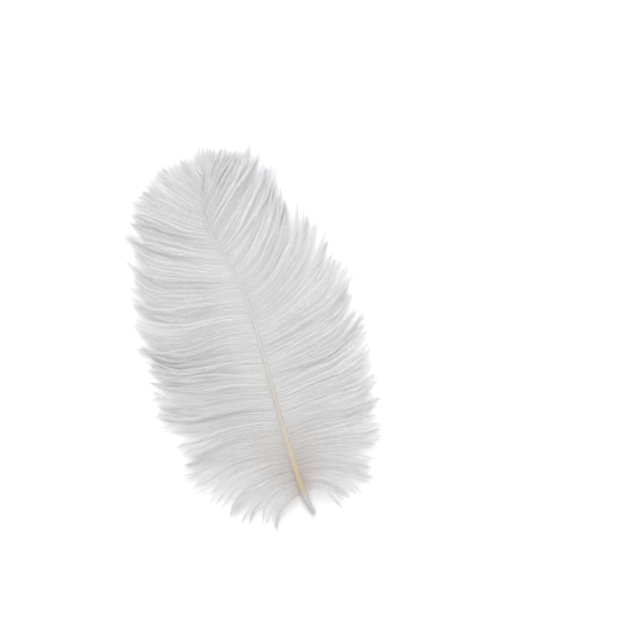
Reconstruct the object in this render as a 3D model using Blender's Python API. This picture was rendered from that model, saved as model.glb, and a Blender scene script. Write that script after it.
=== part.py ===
"""One white ostrich feather, lying on a flat surface with its grooved side up.

Metres, +Z up. The feather's long axis is +Y, from the cut quill end to the plume's tip, and the
surface that it rests on is z = 0. The shaft and the locks of barbs grew as one piece, so they are
joined into one solid, named feather. Each lock stands for a tuft of barbs that cling together.
"""

import math
import random

import bmesh
import bpy
from mathutils import Vector

# The curves below start at the quill's cut end. This is the middle of the feather's box from there,
# and the solids are moved by it, so that the origin is in the middle of what the feather rests on.
MIDDLE_X = -0.0048
MIDDLE_Y = 0.0995

# The shaft's centreline as (across, along, height): straight, then a sway to the left and back.
SHAFT_LINE = (
    (0.0000, 0.000, 0.0012),
    (-0.0024, 0.014, 0.0024),
    (-0.0028, 0.045, 0.0066),
    (-0.0022, 0.085, 0.0100),
    (-0.0022, 0.118, 0.0112),
    (-0.0062, 0.139, 0.0108),
    (-0.0112, 0.159, 0.0096),
    (-0.0094, 0.174, 0.0080),
    (-0.0045, 0.188, 0.0056),
)
SHAFT_RINGS = 36
SHAFT_SIDES = 14
QUILL_RADIUS = 0.0017
QUILL_END_RADIUS = 0.0012
QUILL_BORE_RADIUS = 0.00085
QUILL_BORE_DEPTH = 0.007
SHAFT_TIP_RADIUS = 0.00022
SHAFT_TAPER = 1.35
# The round quill becomes a grooved shaft between these two heights along the feather.
QUILL_TOP = 0.010
GROOVE_START = 0.022
GROOVE_DEPTH = 0.26
GROOVE_HALF_ANGLE = math.radians(30)
SHAFT_FLATNESS = 0.82
# A cross-section is square to the line between the shaft's centres this far before and after it.
TANGENT_REACH = 0.002
BISECTIONS = 24

# The flow of the barbs, at stations along the shaft. For the left vane and then for the right one:
# the heading at the root, in the middle and at the tip, in degrees from the feather's long axis,
# and the length.
FLOW = (
    (0.014, (98, 124, 158, 0.026), (100, 124, 156, 0.024)),
    (0.024, (84, 104, 130, 0.044), (90, 106, 126, 0.040)),
    (0.038, (76, 88, 100, 0.057), (86, 92, 98, 0.051)),
    (0.071, (77, 82, 64, 0.064), (84, 80, 72, 0.058)),
    (0.088, (78, 86, 56, 0.064), (83, 77, 63, 0.059)),
    (0.102, (77, 98, 46, 0.066), (82, 72, 55, 0.060)),
    (0.113, (76, 90, 40, 0.064), (80, 68, 48, 0.061)),
    (0.126, (77, 76, 36, 0.060), (77, 63, 43, 0.061)),
    (0.140, (76, 64, 42, 0.055), (74, 60, 40, 0.058)),
    (0.158, (68, 56, 42, 0.044), (64, 55, 42, 0.051)),
    (0.175, (46, 40, 32, 0.028), (50, 44, 36, 0.031)),
    (0.183, (30, 27, 24, 0.018), (38, 33, 28, 0.019)),
    (0.188, (10, 9, 8, 0.0125), (20, 17, 15, 0.013)),
)
LEFT = -1
RIGHT = 1
# Shares of a barb's length: it turns to its middle heading up to the first, and to its tip's
# heading from the second.
FIRST_BEND_END = 0.45
SECOND_BEND_START = 0.35
BARB_STEPS = 24

# Barbs rise out of the shaft, arch over, most of all near it, and come down on the surface. Short
# ones arch less.
ARCH_HEIGHTS = (0.0070, 0.0038, 0.0058, 0.0026)
ARCH_LEAN = 0.3
FULL_ARCH_LENGTH = 0.055
TIP_HEIGHT = 0.0007

LOCKS_PER_SIDE = 30
LOCK_RINGS = 8
LOCK_HALF_WIDTH = 0.0041
LOCK_HALF_THICKNESS = 0.00085
# A lock shorter than this is narrower in proportion.
FULL_WIDTH_LENGTH = 0.040
LOCK_ROOT_WIDTH = 1.2
LOCK_ROOT_THICKNESS = 0.45
LOCK_TIP_WIDTH = 0.08
# A lock widens from its root up to this share of its length, and narrows from the next one.
LOCK_SPREAD_END = 0.14
LOCK_TAPER_START = 0.55
LOCK_THINNING = 0.6
# A lock's cross-section, in half widths across and half thicknesses up.
LOCK_PROFILE = ((1, 0), (0.5, 1), (-0.5, 1), (-1, 0), (-0.5, -1), (0.5, -1))
LOCK_TANGENT_SHARE = 0.04
LENGTH_VARIATION = 0.06
HEADING_VARIATION = math.radians(4)
SEED = 11

BARB_WHITE = (0.80, 0.80, 0.79, 1.0)


def clear_scene():
    for obj in list(bpy.data.objects):
        bpy.data.objects.remove(obj)


def smooth(share):
    share = min(1.0, max(0.0, share))
    return share * share * (3 - 2 * share)


def spline_point(points, position):
    """A point of the Catmull-Rom curve through points, where position counts them from 0."""
    last = len(points) - 1
    index = min(int(position), last - 1)
    t = position - index
    before, start, end, after = (
        Vector(points[min(max(index + step, 0), last)]) for step in (-1, 0, 1, 2)
    )
    return 0.5 * (
        2 * start
        + (end - before) * t
        + (2 * before - 5 * start + 4 * end - after) * t**2
        + (3 * start - before - 3 * end + after) * t**3
    )


def shaft_point(along):
    """The shaft's centre at a distance along the feather from the cut quill end."""
    heights = [point[1] for point in SHAFT_LINE]
    along = min(max(along, heights[0]), heights[-1])
    index = max(i for i in range(len(heights) - 1) if heights[i] <= along)
    low, high = 0.0, 1.0
    for _ in range(BISECTIONS):
        middle = (low + high) / 2
        if spline_point(SHAFT_LINE, index + middle).y < along:
            low = middle
        else:
            high = middle
    return spline_point(SHAFT_LINE, index + low)


def shaft_radius(along):
    """Half the shaft's width: a quill that widens from its cut end, then a taper to a fine tip."""
    if along < QUILL_TOP:
        return QUILL_END_RADIUS + (QUILL_RADIUS - QUILL_END_RADIUS) * smooth(along / QUILL_TOP)
    share = min(1.0, (along - QUILL_TOP) / (SHAFT_LINE[-1][1] - QUILL_TOP))
    return SHAFT_TIP_RADIUS + (QUILL_RADIUS - SHAFT_TIP_RADIUS) * (1 - share) ** SHAFT_TAPER


def flow_at(along, side):
    """Headings at the root, middle and tip and the length of the barbs that leave the shaft there."""
    stations = [row[0] for row in FLOW]
    along = min(max(along, stations[0]), stations[-1])
    index = max(i for i in range(len(stations) - 1) if stations[i] <= along)
    share = smooth((along - stations[index]) / (stations[index + 1] - stations[index]))
    column = 1 if side == LEFT else 2
    start, end = FLOW[index][column], FLOW[index + 1][column]
    *headings, length = (a + (b - a) * share for a, b in zip(start, end))
    return *(math.radians(heading) for heading in headings), length


def barb_line(along, side, arch, length_scale, turn):
    """Points of a barb's centreline, from inside the shaft to its tip."""
    root, middle, tip, length = flow_at(along, side)
    start = shaft_point(along)
    arch *= min(1.0, length / FULL_ARCH_LENGTH)
    step = length * length_scale / BARB_STEPS
    x, y = start.x, start.y
    points = []
    for i in range(BARB_STEPS + 1):
        q = i / BARB_STEPS
        height = start.z * (1 - smooth(q)) + TIP_HEIGHT * smooth(q)
        height += arch * math.sin(math.pi * q) * (1 + ARCH_LEAN * (1 - 2 * q))
        points.append(Vector((x, y, max(height, TIP_HEIGHT))))
        heading = root + turn
        heading += (middle - root) * smooth(q / FIRST_BEND_END)
        heading += (tip - middle) * smooth((q - SECOND_BEND_START) / (1 - SECOND_BEND_START))
        x += side * math.sin(heading) * step
        y += math.cos(heading) * step
    return points


def point_on(points, share):
    """A point at a share of the way along a list of points."""
    position = share * (len(points) - 1)
    index = min(int(position), len(points) - 2)
    return points[index].lerp(points[index + 1], position - index)


def loft(mesh, rings):
    """A closed skin over rings of points. A last ring of one point closes its end as a cone."""
    made = [[mesh.verts.new(point) for point in ring] for ring in rings]
    for first, second in zip(made, made[1:]):
        for i in range(len(first)):
            j = (i + 1) % len(first)
            if len(second) == 1:
                mesh.faces.new((first[i], first[j], second[0]))
            else:
                mesh.faces.new((first[i], first[j], second[j], second[i]))
    mesh.faces.new(reversed(made[0]))
    if len(made[-1]) > 1:
        mesh.faces.new(made[-1])
    bmesh.ops.recalc_face_normals(mesh, faces=mesh.faces)


def object_from(mesh, name, material):
    data = bpy.data.meshes.new(name)
    mesh.to_mesh(data)
    mesh.free()
    data.materials.append(material)
    obj = bpy.data.objects.new(name, data)
    bpy.context.scene.collection.objects.link(obj)
    return obj


def white_keratin():
    material = bpy.data.materials.new("white_keratin")
    material.use_nodes = True
    surface = material.node_tree.nodes["Principled BSDF"]
    surface.inputs["Base Color"].default_value = BARB_WHITE
    surface.inputs["Roughness"].default_value = 0.8
    surface.inputs["Metallic"].default_value = 0.0
    return material


def shaft_ring(along, radius):
    """One cross-section of the shaft, square to its centreline, with the groove on top."""
    centre = shaft_point(along)
    forward = (shaft_point(along + TANGENT_REACH) - shaft_point(along - TANGENT_REACH)).normalized()
    across = forward.cross(Vector((0, 0, 1))).normalized()
    up = across.cross(forward)
    grooved = smooth((along - QUILL_TOP) / (GROOVE_START - QUILL_TOP))
    flat = 1 - (1 - SHAFT_FLATNESS) * grooved
    ring = []
    for i in range(SHAFT_SIDES):
        angle = 2 * math.pi * i / SHAFT_SIDES + math.pi / 2
        off_top = abs((angle - math.pi / 2 + math.pi) % (2 * math.pi) - math.pi)
        dip = grooved * GROOVE_DEPTH * (1 - smooth(off_top / GROOVE_HALF_ANGLE))
        size = radius * (1 - dip)
        ring.append(centre + across * (size * math.cos(angle)) + up * (size * flat * math.sin(angle)))
    return ring


def make_shaft(material):
    """The quill, with its hollow cut end, and the shaft that it grows into."""
    bore = [shaft_ring(along, QUILL_BORE_RADIUS) for along in (QUILL_BORE_DEPTH, 0)]
    heights = [SHAFT_LINE[-1][1] * i / SHAFT_RINGS for i in range(SHAFT_RINGS + 1)]
    outside = [shaft_ring(along, shaft_radius(along)) for along in heights]
    mesh = bmesh.new()
    loft(mesh, bore + outside)
    return object_from(mesh, "feather", material)


def lock_rings(points, shaft_size, width_scale):
    """Flattened six-sided rings along a lock, from a root within the shaft to its pointed tip."""
    root_width = LOCK_ROOT_WIDTH * shaft_size
    root_thickness = LOCK_ROOT_THICKNESS * shaft_size
    rings = []
    for i in range(LOCK_RINGS):
        q = i / LOCK_RINGS
        centre = point_on(points, q)
        ahead = point_on(points, min(1.0, q + LOCK_TANGENT_SHARE))
        forward = ahead - point_on(points, max(0.0, q - LOCK_TANGENT_SHARE))
        across = forward.cross(Vector((0, 0, 1))).normalized()
        up = across.cross(forward).normalized()
        spread = smooth(q / LOCK_SPREAD_END)
        narrow = 1 - (1 - LOCK_TIP_WIDTH) * smooth((q - LOCK_TAPER_START) / (1 - LOCK_TAPER_START))
        half_width = (root_width + (LOCK_HALF_WIDTH * width_scale - root_width) * spread) * narrow
        half_thickness = root_thickness + (LOCK_HALF_THICKNESS - root_thickness) * spread
        half_thickness *= 1 - LOCK_THINNING * q
        ring = [
            centre + across * (half_width * out) + up * (half_thickness * rise)
            for out, rise in LOCK_PROFILE
        ]
        rings.append([Vector((p.x, p.y, max(p.z, 0.0))) for p in ring])
    rings.append([points[-1]])
    return rings


def make_locks(material):
    """The locks of both vanes, as helper solids that the feather is joined from."""
    chance = random.Random(SEED)
    collection = bpy.data.collections.new("locks")
    bpy.context.scene.collection.children.link(collection)
    first, last = FLOW[0][0], FLOW[-1][0]
    for side, name in ((LEFT, "left"), (RIGHT, "right")):
        for i in range(LOCKS_PER_SIDE):
            share = (i + 0.5 * (side == RIGHT)) / (LOCKS_PER_SIDE - 0.5)
            along = first + (last - first) * share
            points = barb_line(
                along,
                side,
                arch=ARCH_HEIGHTS[i % len(ARCH_HEIGHTS)],
                length_scale=1 + LENGTH_VARIATION * chance.uniform(-1, 1),
                turn=HEADING_VARIATION * chance.uniform(-1, 1),
            )
            width_scale = min(1.0, flow_at(along, side)[-1] / FULL_WIDTH_LENGTH)
            mesh = bmesh.new()
            loft(mesh, lock_rings(points, shaft_radius(along), width_scale))
            lock = object_from(mesh, f"lock_{name}_{i + 1:02d}", material)
            bpy.context.scene.collection.objects.unlink(lock)
            collection.objects.link(lock)
            lock.hide_render = True
            lock.display_type = "WIRE"
            lock.location = (-MIDDLE_X, -MIDDLE_Y, 0)
    return collection


def main():
    clear_scene()
    material = white_keratin()
    feather = make_shaft(material)
    feather.location = (-MIDDLE_X, -MIDDLE_Y, 0)
    join = feather.modifiers.new("join_locks", "BOOLEAN")
    join.operation = "UNION"
    join.solver = "EXACT"
    join.operand_type = "COLLECTION"
    join.collection = make_locks(material)


main()
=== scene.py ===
"""A loose white ostrich feather, lying on a pale floor with its grooved side up.

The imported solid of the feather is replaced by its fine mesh: the shaft with its hollow quill, and
about 300 barbs with their barbules, in place of the solid's locks. Metres, +Z up. +Y runs from the
quill's cut end to the plume's tip, and +X is the right vane's side.
"""

import math
import random

import bpy
import numpy as np
from mathutils import Matrix, Vector


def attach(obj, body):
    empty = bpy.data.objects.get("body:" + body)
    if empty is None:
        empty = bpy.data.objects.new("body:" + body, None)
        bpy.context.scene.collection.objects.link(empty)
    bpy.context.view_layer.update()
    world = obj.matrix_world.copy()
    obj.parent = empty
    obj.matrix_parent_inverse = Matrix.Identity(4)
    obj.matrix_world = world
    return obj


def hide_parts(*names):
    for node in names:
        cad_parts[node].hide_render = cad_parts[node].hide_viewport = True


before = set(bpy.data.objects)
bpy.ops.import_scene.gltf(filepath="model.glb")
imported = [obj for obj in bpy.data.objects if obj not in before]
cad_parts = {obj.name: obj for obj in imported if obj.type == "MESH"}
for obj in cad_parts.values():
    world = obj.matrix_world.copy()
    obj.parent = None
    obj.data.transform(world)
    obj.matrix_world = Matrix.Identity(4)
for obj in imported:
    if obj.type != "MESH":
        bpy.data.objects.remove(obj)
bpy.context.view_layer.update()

# The curves start at the quill's cut end. Solid and mesh are both moved by the solid's middle.
MIDDLE = np.array((-0.0048, 0.0995, 0.0))

# The shaft's centreline as (across, along, height): straight, then a sway to the left and back.
SHAFT_LINE = np.array((
    (0.0000, 0.000, 0.0012),
    (-0.0024, 0.014, 0.0024),
    (-0.0028, 0.045, 0.0066),
    (-0.0022, 0.085, 0.0100),
    (-0.0022, 0.118, 0.0112),
    (-0.0062, 0.139, 0.0108),
    (-0.0112, 0.159, 0.0096),
    (-0.0094, 0.174, 0.0080),
    (-0.0045, 0.188, 0.0056),
))
SHAFT_END = SHAFT_LINE[-1, 1]
SHAFT_RINGS = 420
SHAFT_SIDES = 48
# The shaft's direction is measured between points this far before and after each ring.
TANGENT_REACH = 0.002
QUILL_RADIUS = 0.0017
QUILL_END_RADIUS = 0.0012
QUILL_BORE_RADIUS = 0.00095
QUILL_BORE_DEPTH = 0.007
QUILL_BORE_RINGS = 12
SHAFT_TIP_RADIUS = 0.00022
SHAFT_TAPER = 1.35
QUILL_TOP = 0.010
GROOVE_START = 0.022
GROOVE_DEPTH = 0.26
GROOVE_HALF_ANGLE = math.radians(30)
SHAFT_FLATNESS = 0.82
# The pith shows through the top of the shaft, from where it starts in the quill.
PITH_START = 0.009
PITH_FULL = 0.013
PITH_HALF_ANGLE = math.radians(42)

# The flow of the barbs, at stations along the shaft. For the left vane and then for the right one:
# the heading at the root, in the middle and at the tip, in degrees from the feather's long axis,
# and the length. Towards the feather's tip, the right barbs turn up sooner than the solid's locks.
FLOW = np.array((
    (0.014, 98, 124, 158, 0.026, 100, 124, 156, 0.024),
    (0.024, 84, 104, 130, 0.044, 90, 106, 126, 0.040),
    (0.038, 76, 88, 100, 0.057, 86, 92, 98, 0.051),
    (0.071, 77, 82, 64, 0.064, 84, 79, 70, 0.058),
    (0.088, 78, 86, 56, 0.064, 83, 73, 56, 0.059),
    (0.102, 77, 98, 46, 0.066, 81, 62, 42, 0.060),
    (0.113, 76, 90, 40, 0.064, 79, 50, 26, 0.060),
    (0.126, 77, 76, 36, 0.060, 75, 38, 12, 0.058),
    (0.140, 76, 64, 42, 0.055, 64, 38, 24, 0.054),
    (0.158, 68, 56, 42, 0.044, 50, 44, 44, 0.050),
    (0.175, 46, 40, 32, 0.028, 44, 39, 36, 0.031),
    (0.183, 30, 27, 24, 0.018, 36, 32, 28, 0.019),
    (0.188, 10, 9, 8, 0.0125, 20, 17, 15, 0.013),
))
LEFT = -1
RIGHT = 1
# A barb turns from its root's heading to its middle's, then to its tip's, in shares of its length.
FIRST_BEND_END = 0.45
SECOND_BEND_START = 0.35
# Barbs rise in an arch that leans towards their roots. Those shorter than FULL_ARCH_LENGTH rise less.
ARCH_HEIGHTS = (0.0070, 0.0038, 0.0058, 0.0026)
ARCH_AT_ROOT = 1.3
ARCH_LEAN = 0.6
FULL_ARCH_LENGTH = 0.055
TIP_HEIGHT = 0.0007
LOCKS_PER_SIDE = 30
# The right vane's locks stand between the left vane's.
RIGHT_SHIFT = 0.5
LOCK_LENGTH_VARIATION = 0.06
LOCK_HEADING_VARIATION = math.radians(4)
LOCK_SEED = 11

# Each vane is made in three pieces, as (first lock, lock after the last, name).
VANE_PIECES = ((0, 11, "lower"), (11, 20, "middle"), (20, 30, "upper"))

# Barbs within a lock. Rami are the barbs' own stems.
BARBS_PER_LOCK = 5
BARB_STEPS = 32
BARB_SEED = 5
RAMUS_ROOT_RADIUS = 0.00016
RAMUS_TIP_RADIUS = 0.00004
RAMUS_TAPER = 0.8
ROOT_SCATTER = 0.0002
ROOTS_BELOW_FLOW = 0.002
# What a barb's arch is made of: all locks' mean, its own lock's and a blend of the nearest locks'.
MEAN_ARCH_SHARE = 0.55
LOCK_ARCH_SHARE = 0.1
BLENDED_ARCH_SHARE = 0.35
ARCH_VARIATION = 0.00045
# How much of the locks' variation in length and heading the barbs take over, and their own
# variation in length, in heading and in the turn towards the tip.
LOCK_LENGTH_SHARE = 0.5
BARB_LENGTH_RANGE = (0.955, 1.035)
LOCK_TURN_SHARE = 0.4
BARB_TURN_DEGREES = 1.1
TIP_TURN_DEGREES = 4.0
# Barbs cling to the middle of their lock, fully from one share of their length to another.
CLINGING = 0.06
CLINGING_FULL = 0.4
PARTING_START = 0.65
# How far a lock's outer barbs hang below its middle one.
LOCK_ROUNDNESS = 0.0004
LOWEST_STEM = 0.0003
# Above the quill, the barbs' roots move from the shaft's middle onto its shoulders, given in shares
# of its radius. Each barb leaves that place within a share of its length.
ROOT_ACROSS = 0.45
ROOT_UP = 0.7
SHOULDERS_FULL = 0.065
SHOULDER_REACH = 0.2
# The wave that neighbours share. Its phase changes along the shaft, by up to a step at each knot.
WAVE_SIZE = 0.0013
WAVE_LENGTH = 0.05
WAVE_KNOTS = 12
WAVE_PHASE_STEP = 1.2
# Each barb's own wandering, as (wavelength, size), and its shares across, along and up.
WANDERINGS = ((0.035, 0.0007), (0.014, 0.00025))
WANDER_SHARES = (0.6, 1.0, 0.8)
FAN_TURN = math.radians(18)
# Some barbs stray: they turn out of their neighbours' course and rise above them.
STRAY_SHARE = 0.08
STRAY_TURN = math.radians(5)
STRAY_RISE = 0.0012

# Barbs that leave the shaft below here are creamier near it, and darker there with painted shade.
CREAM_AND_SHADE_START = 0.014
CREAM_AND_SHADE_END = 0.060

# Barbules, the fine side branches of each barb, from a share of its length on.
BARBULES_PER_METRE = 9000
LEAST_BARBULES = 4
FIRST_BARBULE = 0.015
# Below 1, barbules stand closer towards a barb's tip.
BARBULE_CROWDING = 0.88
# They are shorter at a barb's root, and full from a share of its length on.
BARBULE_LENGTH = 0.0023
BARBULE_LENGTH_RANGE = (0.75, 1.2)
ROOT_BARBULE_SCALE = 0.45
BARBULES_FULL = 0.4
BARBULE_HALF_WIDTH = 0.000046
BARBULE_ROOT_WIDTH = 0.8
# Towards a barb's tip they are narrower, from a share of its length on.
TIP_BARBULE_WIDTH = 0.65
NARROWING_START = 0.8
# Over this length before a barb's tip, they draw in to a point: shorter and at a smaller angle.
SPIKE_LENGTH = 0.005
SPIKE_BARBULE_SCALE = 0.2
SPIKE_ANGLE = 12
BARBULE_OPENING = 20
# Their other angles in degrees: the spread of those above, the lift from the barb's own plane as
# mean and spread, the bend back at the elbow as a range, and the droop after it.
BARBULE_ANGLE_SPREAD = 5
BARBULE_LIFT = (-20, 20)
BARBULE_BEND = (5, 40)
BARBULE_DROOP = 14
# How far a barbule's flat side may tilt, as a tangent, and where its elbow is along it.
BARBULE_ROLL = 0.9
BARBULE_ELBOW = 0.45
LOWEST_BARBULE = 0.00005

# The map lays each barb out as one strip, and runs a little past its end for the last barbules.
# The breadths are those of a barbule's five points from the middle of the strip, in strips.
MAP_LENGTH = 1.1
MAP_ADVANCE = 0.9
MAP_BREADTHS = (0.02, 0.02, 0.22, 0.22, 0.45)
RAMUS_MAP_BREADTHS = (0.0, 0.02, -0.02)

# Colours of the barbs: white, with a lilac tint from a share of a barb's length on. At the base of
# the feather, cream darkened by painted shade shows near the shaft, up to a share of a barb's length.
VANE_WHITE = (0.882, 0.880, 0.879)
EDGE_WHITE = (0.887, 0.876, 0.895)
EDGE_START = 0.55
CREAM_AND_PAINTED_SHADE = (0.72, 0.645, 0.61)
CREAM_AND_SHADE_REACH = 0.45
# How dark and light single barbs are, and the painted light that makes all of them lighter near the
# shaft, against the shade that falls beside it.
BARB_TONES = (0.94, 1.03)
ROOT_PAINTED_LIGHT = 1.03
ROOT_PAINTED_LIGHT_REACH = 0.4
BARB_ROUGHNESS = 0.75
BARB_SPECULAR = 0.25
BARB_TRANSLUCENCY = 0.3

# Colours of the shaft's horn and of the pith in its groove, at shares of its length. The horn shows
# on the shaft's sides; from 0.16 to 0.40 it is painted lighter there, against the shade on the sides.
HORN_COLOURS_WITH_SIDE_LIGHT = (
    (0.00, (0.52, 0.51, 0.52)),
    (0.055, (0.53, 0.51, 0.51)),
    (0.085, (0.56, 0.455, 0.32)),
    (0.12, (0.58, 0.475, 0.335)),
    (0.16, (0.62, 0.52, 0.40)),
    (0.26, (0.67, 0.605, 0.53)),
    (0.40, (0.67, 0.625, 0.59)),
    (0.60, (0.66, 0.645, 0.63)),
    (1.00, (0.68, 0.68, 0.68)),
)
PITH_COLOURS = (
    (0.00, (0.52, 0.51, 0.52)),
    (0.055, (0.54, 0.45, 0.31)),
    (0.10, (0.53, 0.43, 0.285)),
    (0.16, (0.57, 0.49, 0.385)),
    (0.26, (0.55, 0.495, 0.435)),
    (0.40, (0.585, 0.54, 0.51)),
    (0.60, (0.62, 0.605, 0.59)),
    (1.00, (0.66, 0.66, 0.66)),
)

HORN_ROUGHNESS = 0.42
HORN_SPECULAR = 0.4

# The horn's grain runs along the shaft: noise periods per metre across, along and up.
GRAIN_SCALE = (4000, 90, 4000)
GRAIN_DETAIL = 3
GRAIN_NOISE = (0.2, 0.8)
GRAIN_TONES = (0.88, 1.08)
GRAIN_STRENGTH = 0.25
GRAIN_DEPTH = 0.0001

FLOOR_SIZE = 4.0
FLOOR_DROP = 0.0001
FLOOR_COLOUR = (0.9, 0.9, 0.9, 1)
FLOOR_ROUGHNESS = 0.9
FLOOR_SPECULAR = 0.1
# The light comes from all sides, and a little more from beyond the feather's tip.
KEY_PLACE = (0.55, 1.5, 1.35)
KEY_SIZE = 1.1
KEY_WATTS = 16
SURROUNDING_LIGHT = 0.98
PHOTO_METRES_PER_PIXEL = 0.000529
PHOTO_SIZE = 640
# Where the quill's cut end is in the photograph, and how far the feather leans from upright there.
QUILL_END_PIXEL = (314, 513)
LEAN = math.radians(16.27)
CAMERA_HEIGHT = 1.3


def smooth(share):
    share = np.clip(share, 0.0, 1.0)
    return share * share * (3 - 2 * share)


def spline_table(points, per_span=200):
    """Dense points of the Catmull-Rom curve through points."""
    padded = np.vstack((points[:1], points, points[-1:]))
    table = []
    t = np.linspace(0, 1, per_span, endpoint=False)[:, None]
    for before, start, end, after in zip(padded, padded[1:], padded[2:], padded[3:]):
        table.append(
            0.5
            * (
                2 * start
                + (end - before) * t
                + (2 * before - 5 * start + 4 * end - after) * t**2
                + (3 * start - before - 3 * end + after) * t**3
            )
        )
    return np.vstack(table + [points[-1:]])


SHAFT_TABLE = spline_table(SHAFT_LINE)


def shaft_point(along):
    """The shaft's centre at distances along the feather from the cut quill end."""
    columns = [np.interp(along, SHAFT_TABLE[:, 1], SHAFT_TABLE[:, axis]) for axis in range(3)]
    return np.stack(columns, axis=-1)


def shaft_radius(along):
    """Half the shaft's width: a quill that widens from its cut end, then a taper to a fine tip."""
    quill = QUILL_END_RADIUS + (QUILL_RADIUS - QUILL_END_RADIUS) * smooth(along / QUILL_TOP)
    share = np.clip((along - QUILL_TOP) / (SHAFT_END - QUILL_TOP), 0, 1)
    taper = SHAFT_TIP_RADIUS + (QUILL_RADIUS - SHAFT_TIP_RADIUS) * (1 - share) ** SHAFT_TAPER
    return np.where(along < QUILL_TOP, quill, taper)


def flow_at(along, side):
    """Headings at root, middle and tip, in radians, and length of the barbs leaving the shaft there."""
    stations = FLOW[:, 0]
    along = np.clip(along, stations[0], stations[-1])
    index = np.clip(np.searchsorted(stations, along, side="right") - 1, 0, len(stations) - 2)
    share = smooth((along - stations[index]) / (stations[index + 1] - stations[index]))
    columns = FLOW[:, 1:5] if side == LEFT else FLOW[:, 5:9]
    mixed = columns[index] + (columns[index + 1] - columns[index]) * share[..., None]
    root, middle, tip = np.radians(mixed[..., :3]).T
    return root, middle, tip, mixed[..., 3]


def barb_lines(along, side, arch, length_scale, turn, tip_turn=0.0):
    """Centrelines of barbs, as an array of barb by step by (x, y, z)."""
    q = np.linspace(0, 1, BARB_STEPS + 1)[None, :]
    root, middle, tip, length = flow_at(along, side)
    start = shaft_point(along)
    heading = (root + turn)[:, None] + (middle - root)[:, None] * smooth(q / FIRST_BEND_END)
    second = smooth((q - SECOND_BEND_START) / (1 - SECOND_BEND_START))
    heading = heading + (tip - middle + tip_turn)[:, None] * second
    arch = arch * np.minimum(1, length / FULL_ARCH_LENGTH)
    step = (length * length_scale / BARB_STEPS)[:, None]
    x = np.cumsum(side * np.sin(heading) * step, axis=1)
    y = np.cumsum(np.cos(heading) * step, axis=1)
    x = start[:, :1] + np.hstack((np.zeros((len(x), 1)), x[:, :-1]))
    y = start[:, 1:2] + np.hstack((np.zeros((len(y), 1)), y[:, :-1]))
    z = start[:, 2:] * (1 - smooth(q)) + TIP_HEIGHT * smooth(q)
    z = z + arch[:, None] * np.sin(np.pi * q) * (ARCH_AT_ROOT - ARCH_LEAN * q)
    return np.stack((x, y, np.maximum(z, TIP_HEIGHT)), axis=-1)


def add_waves(lines, roots, length, chance):
    """Bends the barbs: neighbours wave together, and each wanders a little from its course."""
    q = np.linspace(0, 1, BARB_STEPS + 1)[None, :]
    knots = np.linspace(FLOW[0, 0], FLOW[-1, 0], WAVE_KNOTS)
    drift = np.cumsum(chance.uniform(-WAVE_PHASE_STEP, WAVE_PHASE_STEP, WAVE_KNOTS))
    shared_phase = np.interp(roots, knots, drift)[:, None]
    turns = 2 * np.pi * q * (length / WAVE_LENGTH)[:, None]
    lines[..., 1] += WAVE_SIZE * q * np.sin(turns + shared_phase)
    for wavelength, size in WANDERINGS:
        phase = chance.uniform(0, 2 * np.pi, (len(lines), 3, 1))
        turns = 2 * np.pi * q * (length / wavelength)[:, None]
        for axis, share in enumerate(WANDER_SHARES):
            swing = np.sin(turns + phase[:, axis]) - np.sin(phase[:, axis])
            lines[..., axis] += size * share * q * swing


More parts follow.
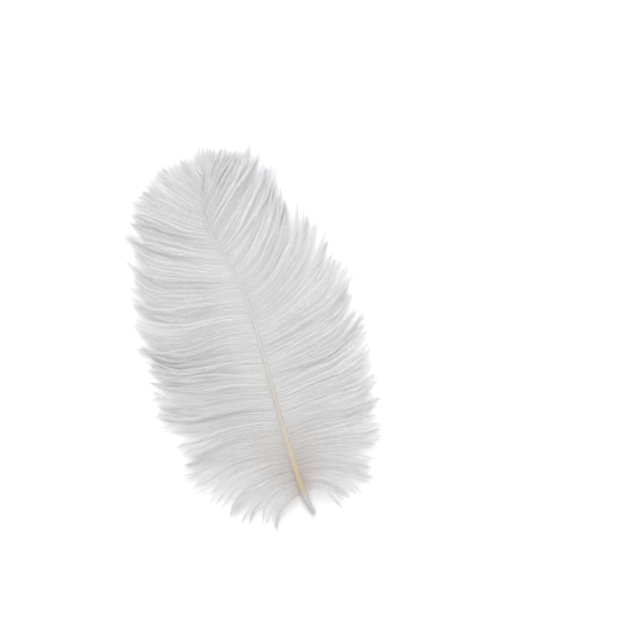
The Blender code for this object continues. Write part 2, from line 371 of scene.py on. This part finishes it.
def vane(side, lock_chance, chance):
    """Centrelines of all the barbs of one side, and the lock that each one is in."""
    first, last = FLOW[0, 0], FLOW[-1, 0]
    spacing = (last - first) / (LOCKS_PER_SIDE - RIGHT_SHIFT)
    along, arch, scale, turn = [], [], [], []
    for i in range(LOCKS_PER_SIDE):
        along.append(first + spacing * (i + RIGHT_SHIFT * (side == RIGHT)))
        arch.append(ARCH_HEIGHTS[i % len(ARCH_HEIGHTS)])
        scale.append(1 + LOCK_LENGTH_VARIATION * lock_chance.uniform(-1, 1))
        turn.append(LOCK_HEADING_VARIATION * lock_chance.uniform(-1, 1))
    along, arch, scale, turn = (np.array(values) for values in (along, arch, scale, turn))
    locks = barb_lines(along, side, arch, scale, turn)

    lock = np.repeat(np.arange(LOCKS_PER_SIDE), BARBS_PER_LOCK)
    place = np.tile((np.arange(BARBS_PER_LOCK) + 0.5) / BARBS_PER_LOCK - 0.5, LOCKS_PER_SIDE)
    count = len(lock)
    roots = along[lock] + place * spacing + chance.uniform(-ROOT_SCATTER, ROOT_SCATTER, count)
    # Where the shaft ends, the last barbs fan out to close the gap between the two vanes.
    fan = -FAN_TURN * np.clip((roots - last) / (spacing / 2), 0, 1)
    roots = np.clip(roots, first - ROOTS_BELOW_FLOW, last)
    stray = np.where(chance.uniform(0, 1, count) < STRAY_SHARE, chance.normal(0, 1, count), 0)
    own_arch = (
        MEAN_ARCH_SHARE * arch.mean()
        + LOCK_ARCH_SHARE * arch[lock]
        + BLENDED_ARCH_SHARE * np.interp(roots, along, arch)
        + chance.normal(0, ARCH_VARIATION, count)
        + STRAY_RISE * np.abs(stray)
    )
    own_scale = 1 - LOCK_LENGTH_SHARE + LOCK_LENGTH_SHARE * np.interp(roots, along, scale)
    own_scale = own_scale * chance.uniform(*BARB_LENGTH_RANGE, count)
    own_turn = (
        LOCK_TURN_SHARE * np.interp(roots, along, turn)
        + fan
        + np.radians(chance.normal(0, BARB_TURN_DEGREES, count))
        + STRAY_TURN * stray
    )
    own_tip_turn = np.radians(chance.normal(0, TIP_TURN_DEGREES, count))
    own = barb_lines(roots, side, own_arch, own_scale, own_turn, own_tip_turn)
    q = np.linspace(0, 1, BARB_STEPS + 1)[None, :]
    parting = smooth((q - PARTING_START) / (1 - PARTING_START))
    cling = CLINGING * smooth(q / CLINGING_FULL) * (1 - parting)
    lines = own + (locks[lock] - own) * cling[..., None]
    # The roots sit beside the groove and hide the shaft's sides.
    on_shoulders = smooth((roots - GROOVE_START) / (SHOULDERS_FULL - GROOVE_START))
    shoulder = shaft_radius(roots) * on_shoulders
    moved = shoulder[:, None] * (1 - smooth(q / SHOULDER_REACH))
    lines[..., 0] += side * ROOT_ACROSS * moved
    lines[..., 2] += ROOT_UP * moved

    length = flow_at(roots, side)[3] * scale[lock]
    add_waves(lines, roots, length, chance)
    lines[..., 2] -= (2 * place[:, None]) ** 2 * LOCK_ROUNDNESS * np.sin(np.pi * q)
    lines[..., 2] = np.maximum(lines[..., 2], LOWEST_STEM)
    return lines, lock


def unit(vectors):
    return vectors / np.maximum(np.linalg.norm(vectors, axis=-1, keepdims=True), 1e-12)


def frames(lines):
    """At each step of each barb: its direction, the direction to its right, and its own up."""
    forward = unit(np.gradient(lines, axis=1))
    right = unit(np.cross(forward, (0.0, 0.0, 1.0)))
    return forward, right, np.cross(right, forward)


def at(values, barb, q):
    """Values of barb by step, read between the steps."""
    position = np.clip(q, 0, 1) * BARB_STEPS
    index = np.minimum(position.astype(int), BARB_STEPS - 1)
    share = (position - index)[:, None]
    return values[barb, index] * (1 - share) + values[barb, index + 1] * share


def barbules(lines, cream_and_shade, tone, chance):
    """Points, faces, map and values of the barbules of a set of barbs: each a bent, pointed ribbon."""
    forward, right, up = frames(lines)
    length = np.linalg.norm(np.diff(lines, axis=1), axis=-1).sum(axis=1)
    per_barb = np.maximum((length * BARBULES_PER_METRE).astype(int), LEAST_BARBULES)
    barb = np.repeat(np.arange(len(lines)), per_barb * 2)
    count = len(barb)
    order = np.arange(count) - np.repeat(np.cumsum(per_barb * 2) - per_barb * 2, per_barb * 2)
    side = np.where(order % 2 == 0, 1.0, -1.0)
    q = (order // 2 + chance.uniform(0, 1, count)) / per_barb[barb]
    q = FIRST_BARBULE + (1 - FIRST_BARBULE) * q**BARBULE_CROWDING

    spike = smooth((1 - q) * length[barb] / SPIKE_LENGTH)
    grown = ROOT_BARBULE_SCALE + (1 - ROOT_BARBULE_SCALE) * smooth(q / BARBULES_FULL)
    drawn_in = SPIKE_BARBULE_SCALE + (1 - SPIKE_BARBULE_SCALE) * spike
    reach = BARBULE_LENGTH * grown * drawn_in * chance.uniform(*BARBULE_LENGTH_RANGE, count)
    scatter = chance.normal(0, BARBULE_ANGLE_SPREAD, count)
    angle = np.radians(SPIKE_ANGLE + BARBULE_OPENING * spike + scatter)
    lift = np.radians(chance.normal(*BARBULE_LIFT, count))
    bend = np.radians(chance.uniform(*BARBULE_BEND, count))
    roll = chance.uniform(-BARBULE_ROLL, BARBULE_ROLL, count)

    root = at(lines, barb, q)
    onward = at(forward, barb, q)
    outward = at(right, barb, q) * side[:, None]
    upward = at(up, barb, q)

    def heading(turn, rise):
        flat = np.cos(turn)[:, None] * onward + np.sin(turn)[:, None] * outward
        return np.cos(rise)[:, None] * flat + np.sin(rise)[:, None] * upward

    first_half = heading(angle, lift)
    second_half = heading(angle - bend, lift - np.radians(BARBULE_DROOP))
    elbow = root + first_half * (BARBULE_ELBOW * reach)[:, None]
    tip = elbow + second_half * ((1 - BARBULE_ELBOW) * reach)[:, None]
    face = upward + roll[:, None] * outward
    narrowing = smooth((q - NARROWING_START) / (1 - NARROWING_START))
    half_width = BARBULE_HALF_WIDTH * (1 - (1 - TIP_BARBULE_WIDTH) * narrowing)
    wide = unit(np.cross(first_half, face)) * half_width[:, None]
    wide_root = wide * BARBULE_ROOT_WIDTH

    points = np.stack((root - wide_root, root + wide_root, elbow - wide, elbow + wide, tip), axis=1)
    points[..., 2] = np.maximum(points[..., 2], LOWEST_BARBULE)
    base = (np.arange(count) * 5)[:, None]
    corners = np.hstack((base + (0, 1, 3, 2), base + (2, 3, 4))).ravel()
    sizes = np.tile((4, 3), count)

    strip = (barb + 0.5) / len(lines)
    advance = reach * np.cos(angle) / length[barb] * MAP_ADVANCE
    breadth = BARBULE_HALF_WIDTH / length[barb]
    middle = q + advance / 2
    along = np.stack((q - breadth, q + breadth, middle - breadth, middle + breadth, q + advance), axis=1)
    away = side[:, None] * np.array(MAP_BREADTHS) / len(lines)
    uv = np.stack((along / MAP_LENGTH, strip[:, None] + away), axis=-1)
    values = {
        "share": np.repeat(q, 5),
        "cream_and_shade": np.repeat(cream_and_shade[barb], 5),
        "tone": np.repeat(tone[barb], 5),
    }
    return points.reshape(-1, 3), corners, sizes, uv.reshape(-1, 2), values


def rami(lines, cream_and_shade, tone):
    """Points, faces, map and values of the barbs' own stems: three-sided tapering tubes."""
    forward, right, up = frames(lines)
    steps = lines.shape[1]
    q = np.linspace(0, 1, steps)
    taper = (1 - q) ** RAMUS_TAPER
    radius = RAMUS_TIP_RADIUS + (RAMUS_ROOT_RADIUS - RAMUS_TIP_RADIUS) * taper
    rings = []
    for corner in range(3):
        angle = math.radians(90 + 120 * corner)
        offset = math.cos(angle) * right + math.sin(angle) * up
        rings.append(lines + offset * radius[None, :, None])
    points = np.stack(rings, axis=2)
    count = len(lines)
    index = np.arange(count * steps * 3).reshape(count, steps, 3)
    after = np.roll(index, -1, axis=2)
    corners = np.stack((index[:, :-1], after[:, :-1], after[:, 1:], index[:, 1:]), axis=-1)
    sizes = np.full(corners.size // 4, 4)
    strip = (np.arange(count)[:, None, None] + 0.5 + np.array(RAMUS_MAP_BREADTHS)) / count
    along = np.broadcast_to(q[None, :, None] / MAP_LENGTH, (count, steps, 3))
    uv = np.stack((along, np.broadcast_to(strip, (count, steps, 3))), axis=-1)
    values = {
        "share": np.tile(np.repeat(q, 3), count),
        "cream_and_shade": np.repeat(cream_and_shade, steps * 3),
        "tone": np.repeat(tone, steps * 3),
    }
    return points.reshape(-1, 3), corners.ravel(), sizes, uv.reshape(-1, 2), values


def mesh_object(name, parts, material):
    """One object made of sets of points, corners, face sizes, map points and values by name."""
    points, corners, sizes, uv, values = zip(*parts)
    starts = np.cumsum([0] + [len(block) for block in points])
    points = np.vstack(points) - MIDDLE
    corners = np.concatenate([block + start for block, start in zip(corners, starts)])
    sizes = np.concatenate(sizes)
    uv = np.vstack(uv)
    mesh = bpy.data.meshes.new(name)
    mesh.vertices.add(len(points))
    mesh.vertices.foreach_set("co", points.astype(np.float32).ravel())
    mesh.loops.add(len(corners))
    mesh.loops.foreach_set("vertex_index", corners.astype(np.int32))
    mesh.polygons.add(len(sizes))
    loop_start = np.concatenate(([0], np.cumsum(sizes)[:-1])).astype(np.int32)
    mesh.polygons.foreach_set("loop_start", loop_start)
    mesh.update(calc_edges=True)
    layer = mesh.uv_layers.new(name="OFBake")
    layer.uv.foreach_set("vector", uv[corners].astype(np.float32).ravel())
    for scalar in values[0]:
        joined = np.concatenate([block[scalar] for block in values])
        attribute = mesh.attributes.new(scalar, "FLOAT", "POINT")
        attribute.data.foreach_set("value", joined.astype(np.float32))
    mesh.polygons.foreach_set("use_smooth", np.ones(len(sizes), dtype=bool))
    mesh.materials.append(material)
    mesh.validate()
    obj = bpy.data.objects.new(name, mesh)
    bpy.context.scene.collection.objects.link(obj)
    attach(obj, "root")
    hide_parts("feather")


def shaft_parts():
    """The shaft's outside, with the groove on top, and the bore in the quill's cut end."""
    shares = np.linspace(0, 1, SHAFT_RINGS)
    outside = SHAFT_END * shares
    bore = QUILL_BORE_DEPTH * np.linspace(1, 0, QUILL_BORE_RINGS)
    along = np.concatenate((bore, outside))
    inner = np.arange(len(along)) < len(bore)
    centre = shaft_point(along)
    ahead = shaft_point(np.minimum(along + TANGENT_REACH, SHAFT_END))
    behind = shaft_point(np.maximum(along - TANGENT_REACH, 0))
    forward = unit(ahead - behind)
    across = unit(np.cross(forward, (0.0, 0.0, 1.0)))
    up = np.cross(across, forward)
    radius = np.where(inner, QUILL_BORE_RADIUS, shaft_radius(along))
    grooved = np.where(inner, 0.0, smooth((along - QUILL_TOP) / (GROOVE_START - QUILL_TOP)))
    flat = 1 - (1 - SHAFT_FLATNESS) * grooved
    angle = 2 * np.pi * np.arange(SHAFT_SIDES) / SHAFT_SIDES + np.pi / 2
    off_top = np.abs((angle - np.pi / 2 + np.pi) % (2 * np.pi) - np.pi)
    dip = grooved[:, None] * GROOVE_DEPTH * (1 - smooth(off_top / GROOVE_HALF_ANGLE))[None, :]
    size = radius[:, None] * (1 - dip)
    points = (
        centre[:, None]
        + across[:, None] * (size * np.cos(angle))[..., None]
        + up[:, None] * (size * flat[:, None] * np.sin(angle))[..., None]
    )
    # Both the bore's inner end and the shaft's tip close to a point.
    points[0] = centre[0]
    points[-1] = centre[-1]
    rings = len(along)
    index = np.arange(rings * SHAFT_SIDES).reshape(rings, SHAFT_SIDES)
    after = np.roll(index, -1, axis=1)
    corners = np.stack((index[:-1], after[:-1], after[1:], index[1:]), axis=-1)
    sizes = np.full(corners.size // 4, 4)
    run = np.linspace(0, 1, rings)
    around = np.arange(SHAFT_SIDES) / SHAFT_SIDES
    uv = np.stack(np.broadcast_arrays(run[:, None], around[None, :]), axis=-1)
    pith = smooth((along - PITH_START) / (PITH_FULL - PITH_START))[:, None]
    pith = pith * (1 - smooth(off_top / PITH_HALF_ANGLE))[None, :]
    return points.reshape(-1, 3), corners.ravel(), sizes, uv.reshape(-1, 2), {"pith": pith.ravel()}


class Shading:
    """A new material and its nodes. Colours and values are sockets, or plain tuples and numbers."""

    def __init__(self, name):
        self.material = bpy.data.materials.new(name)
        self.material.use_nodes = True
        self.tree = self.material.node_tree
        self.surface = self.tree.nodes["Principled BSDF"]
        self.output = self.tree.nodes["Material Output"]

    def node(self, kind):
        return self.tree.nodes.new("ShaderNode" + kind)

    def link(self, source, socket):
        self.tree.links.new(source, socket)

    def value(self, name):
        """A value that the mesh's points carry."""
        node = self.node("Attribute")
        node.attribute_name = name
        return node.outputs["Fac"]

    def place(self):
        return self.node("TexCoord").outputs["Object"]

    def between(self, value, low, high, to_low, to_high):
        """Runs smoothly from to_low to to_high as value runs from low to high."""
        node = self.node("MapRange")
        node.interpolation_type = "SMOOTHSTEP"
        node.inputs["From Min"].default_value = low
        node.inputs["From Max"].default_value = high
        node.inputs["To Min"].default_value = to_low
        node.inputs["To Max"].default_value = to_high
        self.link(value, node.inputs["Value"])
        return node.outputs["Result"]

    def product(self, first, second):
        node = self.node("Math")
        node.operation = "MULTIPLY"
        self.link(first, node.inputs[0])
        self.link(second, node.inputs[1])
        return node.outputs["Value"]

    def mixed(self, share, first, second):
        node = self.node("Mix")
        node.data_type = "RGBA"
        self.link(share, node.inputs["Factor"])
        for colour, socket in ((first, node.inputs[6]), (second, node.inputs[7])):
            if isinstance(colour, tuple):
                socket.default_value = (*colour, 1)
            else:
                self.link(colour, socket)
        return node.outputs[2]

    def scaled(self, colour, value):
        node = self.node("VectorMath")
        node.operation = "SCALE"
        self.link(colour, node.inputs[0])
        self.link(value, node.inputs["Scale"])
        return node.outputs["Vector"]

    def ramp(self, share, stops):
        node = self.node("ValToRGB")
        for position, _ in stops[1:-1]:
            node.color_ramp.elements.new(position)
        for element, (position, colour) in zip(node.color_ramp.elements, stops):
            element.position = position
            element.color = (*colour, 1)
        self.link(share, node.inputs["Fac"])
        return node.outputs["Color"]


def barb_material():
    """White keratin fibres, which scatter light and let some through."""
    shading = Shading("barb_white")
    share = shading.value("share")
    # At the feather's base the barbs turn cream near the shaft, darkened further there as painted shade.
    near_shaft = shading.between(share, 0, CREAM_AND_SHADE_REACH, 1, 0)
    cream_and_shade_mix = shading.product(shading.value("cream_and_shade"), near_shaft)
    colour = shading.mixed(shading.between(share, EDGE_START, 1, 0, 1), VANE_WHITE, EDGE_WHITE)
    colour = shading.mixed(cream_and_shade_mix, colour, CREAM_AND_PAINTED_SHADE)
    tone = shading.between(shading.value("tone"), -1, 1, *BARB_TONES)
    # Painted light: all barbs are made lighter near the shaft, against the shade beside it.
    tone = shading.product(tone, shading.between(share, 0, ROOT_PAINTED_LIGHT_REACH, ROOT_PAINTED_LIGHT, 1))
    colour = shading.scaled(colour, tone)
    shading.link(colour, shading.surface.inputs["Base Color"])
    shading.surface.inputs["Roughness"].default_value = BARB_ROUGHNESS
    shading.surface.inputs["Specular IOR Level"].default_value = BARB_SPECULAR
    through = shading.node("BsdfTranslucent")
    shading.link(colour, through.inputs["Color"])
    mix = shading.node("MixShader")
    mix.inputs["Fac"].default_value = BARB_TRANSLUCENCY
    shading.link(shading.surface.outputs["BSDF"], mix.inputs[1])
    shading.link(through.outputs["BSDF"], mix.inputs[2])
    shading.link(mix.outputs["Shader"], shading.output.inputs["Surface"])
    return shading.material


def shaft_material():
    """Horn: pale grey at the quill, golden above it, and paler again towards the tip."""
    shading = Shading("shaft_horn")
    place = shading.place()
    split = shading.node("SeparateXYZ")
    shading.link(place, split.inputs["Vector"])
    run = shading.node("MapRange")
    run.inputs["From Min"].default_value = -MIDDLE[1]
    run.inputs["From Max"].default_value = SHAFT_END - MIDDLE[1]
    shading.link(split.outputs["Y"], run.inputs["Value"])
    # Painted light: the horn on the shaft's sides is lighter, against the shade that falls on them.
    horn_with_side_light = shading.ramp(run.outputs["Result"], HORN_COLOURS_WITH_SIDE_LIGHT)
    pith = shading.ramp(run.outputs["Result"], PITH_COLOURS)
    colour = shading.mixed(shading.value("pith"), horn_with_side_light, pith)
    stretch = shading.node("Mapping")
    stretch.inputs["Scale"].default_value = GRAIN_SCALE
    shading.link(place, stretch.inputs["Vector"])
    grain = shading.node("TexNoise")
    grain.inputs["Scale"].default_value = 1
    grain.inputs["Detail"].default_value = GRAIN_DETAIL
    shading.link(stretch.outputs["Vector"], grain.inputs["Vector"])
    tone = shading.between(grain.outputs["Fac"], *GRAIN_NOISE, *GRAIN_TONES)
    shading.link(shading.scaled(colour, tone), shading.surface.inputs["Base Color"])
    shading.surface.inputs["Roughness"].default_value = HORN_ROUGHNESS
    shading.surface.inputs["Specular IOR Level"].default_value = HORN_SPECULAR
    bump = shading.node("Bump")
    bump.inputs["Strength"].default_value = GRAIN_STRENGTH
    bump.inputs["Distance"].default_value = GRAIN_DEPTH
    shading.link(grain.outputs["Fac"], bump.inputs["Height"])
    shading.link(bump.outputs["Normal"], shading.surface.inputs["Normal"])
    return shading.material


def make_feather():
    barb_white = barb_material()
    mesh_object("shaft", [shaft_parts()], shaft_material())
    lock_chance = random.Random(LOCK_SEED)
    chance = np.random.default_rng(BARB_SEED)
    for side, name in ((LEFT, "left"), (RIGHT, "right")):
        lines, lock = vane(side, lock_chance, chance)
        # How strongly each barb takes the base's cream and painted shade.
        cream_and_shade = 1 - smooth((lines[:, 0, 1] - CREAM_AND_SHADE_START) / (CREAM_AND_SHADE_END - CREAM_AND_SHADE_START))
        tone = chance.uniform(-1, 1, len(lines))
        for low, high, piece in VANE_PIECES:
            chosen = (lock >= low) & (lock < high)
            barbs = lines[chosen], cream_and_shade[chosen], tone[chosen]
            parts = [rami(*barbs), barbules(*barbs, chance)]
            mesh_object(f"{name}_vane_{piece}", parts, barb_white)


def make_floor():
    half = FLOOR_SIZE / 2
    mesh = bpy.data.meshes.new("floor")
    corners = [(x, y, 0) for x, y in ((-half, -half), (half, -half), (half, half), (-half, half))]
    mesh.from_pydata(corners, [], [(0, 1, 2, 3)])
    shading = Shading("floor_white")
    shading.surface.inputs["Base Color"].default_value = FLOOR_COLOUR
    shading.surface.inputs["Roughness"].default_value = FLOOR_ROUGHNESS
    shading.surface.inputs["Specular IOR Level"].default_value = FLOOR_SPECULAR
    mesh.materials.append(shading.material)
    floor = bpy.data.objects.new("floor", mesh)
    floor.location.z = -FLOOR_DROP
    bpy.context.scene.collection.objects.link(floor)


def soft_light(name, place, size, watts):
    light = bpy.data.lights.new(name, "AREA")
    light.shape = "DISK"
    light.size = size
    light.energy = watts
    lamp = bpy.data.objects.new(name, light)
    lamp.location = place
    lamp.rotation_euler = (-Vector(place)).to_track_quat("-Z", "Y").to_euler()
    bpy.context.scene.collection.objects.link(lamp)


def make_lights():
    soft_light("key", KEY_PLACE, KEY_SIZE, KEY_WATTS)
    world = bpy.data.worlds.new("studio")
    world.use_nodes = True
    world.node_tree.nodes["Background"].inputs["Color"].default_value = (1, 1, 1, 1)
    world.node_tree.nodes["Background"].inputs["Strength"].default_value = SURROUNDING_LIGHT
    bpy.context.scene.world = world


def make_camera():
    """Straight above the floor, turned and placed so that the feather lies as it does in the photo."""
    right = Vector((math.cos(LEAN), -math.sin(LEAN), 0))
    top = Vector((math.sin(LEAN), math.cos(LEAN), 0))
    off_right = PHOTO_SIZE / 2 - QUILL_END_PIXEL[0]
    off_top = QUILL_END_PIXEL[1] - PHOTO_SIZE / 2
    aim = (right * off_right + top * off_top) * PHOTO_METRES_PER_PIXEL - Vector(MIDDLE)
    data = bpy.data.cameras.new("camera")
    data.sensor_fit = "HORIZONTAL"
    data.angle = 2 * math.atan(PHOTO_SIZE * PHOTO_METRES_PER_PIXEL / 2 / CAMERA_HEIGHT)
    camera = bpy.data.objects.new("camera", data)
    turn = Matrix((right, top, Vector((0, 0, 1)))).transposed().to_4x4()
    camera.matrix_world = Matrix.Translation(aim + Vector((0, 0, CAMERA_HEIGHT))) @ turn
    bpy.context.scene.collection.objects.link(camera)
    bpy.context.scene.camera = camera


make_feather()
make_floor()
make_lights()
make_camera()
bpy.context.scene.view_settings.view_transform = "Standard"
